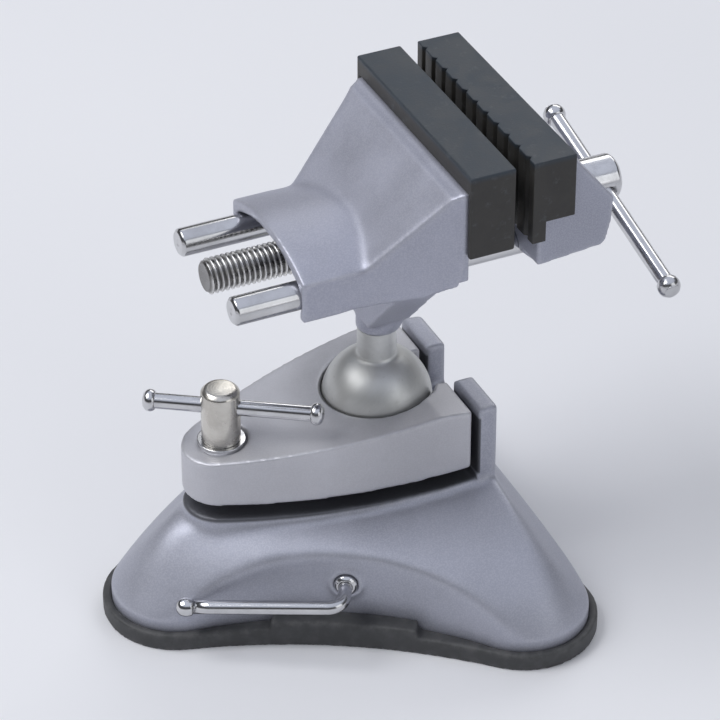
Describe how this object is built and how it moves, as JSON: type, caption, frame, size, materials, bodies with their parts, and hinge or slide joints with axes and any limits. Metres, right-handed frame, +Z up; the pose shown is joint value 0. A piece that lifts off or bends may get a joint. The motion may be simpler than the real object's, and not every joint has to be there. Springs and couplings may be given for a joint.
{
  "type": "suction base vise",
  "caption": "Small bench vise with soft jaws and a lead screw, on a ball joint held by a clamp plate, over a three lobed suction foot.",
  "frame": {"origin": "on the bench, in the underside of the foot's rubber skirt, under the middle of the suction cup", "axes": "+Z up; +X along the vise, from the clamp screw towards the sliding jaw and its hub; the suction lever is on the -Y side"},
  "size_m": [0.1524, 0.1368, 0.1395],
  "materials": {
    "cast": "satin silver grey paint",
    "ball_steel": "satin machined",
    "bright": "bright plated",
    "nickel": "bright, slightly warm",
    "dark_steel": "plain",
    "nut_brass": "machined",
    "pad": "matt, lightly grained",
    "skirt": "matt",
    "cup": "smooth"
  },
  "bodies": {
    "foot": {"base_casting": "cast", "base_skirt": "skirt"},
    "cup": {"suction_cup": "cup", "cup_plate": "dark_steel", "lift_stud": "dark_steel"},
    "lever": {"cam_shaft": "bright", "shaft_clip": "dark_steel", "suction_lever": "bright", "lever_knob": "bright"},
    "plate": {"clamp_plate": "cast", "clamp_washer": "bright"},
    "clamp": {"clamp_screw": "nickel"},
    "clamp_handle": {"clamp_bar": "bright", "clamp_bar_caps": "bright"},
    "stud": {"ball_stud": "ball_steel"},
    "head": {"fixed_jaw": "cast", "stud_grub_screw": "dark_steel", "lead_nut": "nut_brass", "fixed_jaw_pad": "pad"},
    "slider": {"moving_jaw": "cast", "moving_jaw_pad": "pad", "near_guide_rod": "bright", "far_guide_rod": "bright", "rod_set_screws": "dark_steel"},
    "screw": {"lead_screw": "bright", "screw_collar": "dark_steel", "collar_pin": "dark_steel"},
    "screw_handle": {"jaw_bar": "bright", "jaw_bar_caps": "bright"}
  },
  "joints": [
    {"name": "lever_turn", "type": "hinge", "parent": "foot", "child": "lever", "pos_m": [0, 0, 0.0176], "axis": [0.5, 0.866, 0], "range_deg": [0, 180]},
    {"name": "cup_lift", "type": "slide", "parent": "foot", "child": "cup", "axis": [0, 0, 1], "range_m": [0, 0.003]},
    {"name": "plate_lift", "type": "slide", "parent": "foot", "child": "plate", "axis": [0, 0, 1], "range_m": [0, 0.0005]},
    {"name": "clamp_turn", "type": "hinge", "parent": "plate", "child": "clamp", "pos_m": [-0.04085, 0, 0.0526], "axis": [0, 0, 1], "range_deg": [0, 180.1]},
    {"name": "clamp_bar_slide", "type": "slide", "parent": "clamp", "child": "clamp_handle", "axis": [0.8387, -0.5446, 0], "range_m": [-0.0192, 0.0122]},
    {"name": "head_tilt", "type": "hinge", "parent": "foot", "child": "stud", "pos_m": [0.0055, 0, 0.0528], "axis": [0, 1, 0], "range_deg": [-30, 90]},
    {"name": "head_spin", "type": "hinge", "parent": "stud", "child": "head", "pos_m": [0.0055, 0, 0.09], "axis": [0, 0, 1], "continuous": true},
    {"name": "jaw_slide", "type": "slide", "parent": "head", "child": "slider", "axis": [1, 0, 0], "range_m": [-0.0048, 0.0549]},
    {"name": "screw_turn", "type": "hinge", "parent": "slider", "child": "screw", "pos_m": [0.0655, 0, 0.1055], "axis": [1, 0, 0], "range_deg": [-1153, 13178]},
    {"name": "jaw_bar_slide", "type": "slide", "parent": "screw", "child": "screw_handle", "axis": [0, -0.9724, -0.2334], "range_m": [-0.0343, 0.0179]}
  ],
  "couplings": [
    {"joint": "cup_lift", "follows": "lever_turn", "m_per_rad": 0.00095493},
    {"joint": "clamp_turn", "follows": "plate_lift", "rad_per_m": 6283.2},
    {"joint": "screw_turn", "follows": "jaw_slide", "rad_per_m": 4188.8}
  ]
}
